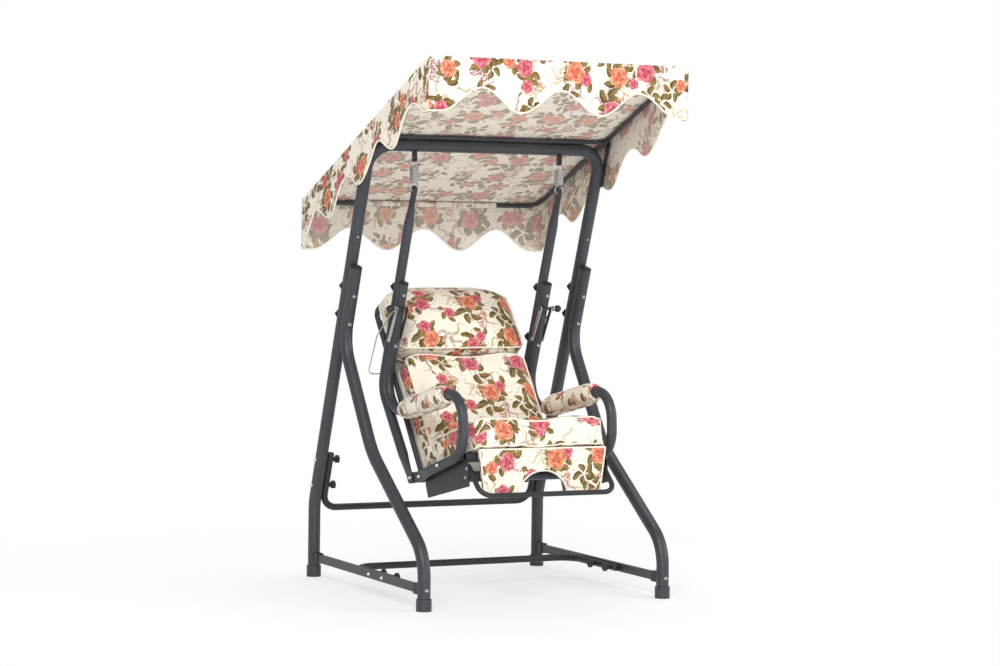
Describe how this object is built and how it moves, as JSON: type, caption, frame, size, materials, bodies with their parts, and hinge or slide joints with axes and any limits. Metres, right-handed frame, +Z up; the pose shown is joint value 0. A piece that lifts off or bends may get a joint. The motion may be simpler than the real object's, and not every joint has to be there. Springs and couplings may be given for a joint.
{
  "type": "single-seat swing chair",
  "caption": "Single-seat garden swing: a padded reclining chair with arm loops hangs on springs from a bent tube stand under a tilting cloth canopy with a scalloped valance.",
  "frame": {"origin": "on the floor under the middle of the canopy", "axes": "+X to the viewer's right when facing the chair's front, +Y to the rear, +Z up"},
  "size_m": [1.12, 1.2408, 2.0969],
  "materials": {
    "frame_paint": "satin anthracite powder coat",
    "black_paint": "satin black powder coat",
    "black_plastic": "moulded, slightly grained",
    "zinc_steel": "bright zinc",
    "sling_fabric": "plain woven",
    "cushion_fabric": "printed woven cotton blend, rose print on cream",
    "canopy_fabric": "printed woven cloth, rose print on cream, piped hem"
  },
  "bodies": {
    "stand": {"rear_leg_left": "frame_paint", "rear_leg_right": "frame_paint", "front_leg_left": "frame_paint", "front_leg_right": "frame_paint", "top_frame": "frame_paint", "side_rail_left": "frame_paint", "side_rail_right": "frame_paint", "rail_saddles": "black_plastic", "rear_cross_tube": "black_paint", "lower_cross_tube": "black_paint", "cross_tube_caps": "black_plastic", "cross_tube_bolts": "zinc_steel", "cross_tube_knobs": "black_plastic", "leg_bolts": "zinc_steel", "leg_knobs": "black_plastic", "rail_end_bolts": "zinc_steel", "top_frame_screws": "zinc_steel", "foot_caps": "black_plastic", "front_leg_caps": "black_plastic", "spring_tabs": "black_paint", "canopy_brackets": "black_paint", "bracket_screws": "zinc_steel"},
    "springs": {"spring_left": "zinc_steel", "spring_right": "zinc_steel"},
    "seat": {"hanger_left": "frame_paint", "hanger_right": "frame_paint", "arm_tube_left": "frame_paint", "arm_tube_right": "frame_paint", "arm_tube_caps": "black_plastic", "hanger_bolts": "zinc_steel", "hanger_knobs": "black_plastic", "arm_bolts": "zinc_steel", "armrest_pad_left": "cushion_fabric", "armrest_pad_right": "cushion_fabric", "seat_front_tube": "frame_paint", "seat_rear_tube": "frame_paint", "seat_low_tube": "frame_paint", "seat_sling": "sling_fabric", "side_plate_left": "black_paint", "side_plate_right": "black_paint", "plate_screws": "zinc_steel", "foot_bar": "black_paint", "seat_cushion": "cushion_fabric", "leg_flap": "cushion_fabric", "lever_pins": "zinc_steel"},
    "backrest": {"backrest_frame": "frame_paint", "back_sling": "sling_fabric", "back_cushion": "cushion_fabric", "headrest": "cushion_fabric"},
    "levers": {"lever_bars": "zinc_steel", "latch_rods": "zinc_steel", "latch_balls": "black_plastic"},
    "wire": {"recline_wire": "zinc_steel"},
    "canopy": {"canopy_front_hoop": "frame_paint", "canopy_rear_hoop": "frame_paint", "canopy_mid_bar": "frame_paint", "canopy_nuts": "zinc_steel", "canopy_cloth": "canopy_fabric"}
  },
  "joints": [
    {"name": "swing", "type": "hinge", "parent": "stand", "child": "springs", "pos_m": [0, 0.01282, 1.731], "axis": [1, 0, 0], "range_deg": [-18, 14]},
    {"name": "bounce", "type": "slide", "parent": "springs", "child": "seat", "axis": [0, 0, -1], "range_m": [0, 0.05], "stiffness_N_per_m": 12000, "springref_m": -0.04, "deforming": ["spring_left", "spring_right"]},
    {"name": "backrest_recline", "type": "hinge", "parent": "seat", "child": "backrest", "pos_m": [0, -0.02718, 0.457], "axis": [-1, 0, 0], "range_deg": [0, 15.8]},
    {"name": "lever_flip", "type": "hinge", "parent": "seat", "child": "levers", "pos_m": [0, 0.18648, 0.996], "axis": [1, 0, 0], "range_deg": [0, 158]},
    {"name": "wire_swing", "type": "hinge", "parent": "levers", "child": "wire", "pos_m": [0, 0.11212, 1.12512], "axis": [1, 0, 0], "range_deg": [-158, 0]},
    {"name": "canopy_tilt", "type": "hinge", "parent": "stand", "child": "canopy", "pos_m": [0, 0.00096, 1.813], "axis": [1, 0, 0], "range_deg": [-4, 12]}
  ],
  "couplings": [
    {"joint": "lever_flip", "follows": "backrest_recline", "ratio": 10},
    {"joint": "wire_swing", "follows": "backrest_recline", "ratio": -10}
  ]
}
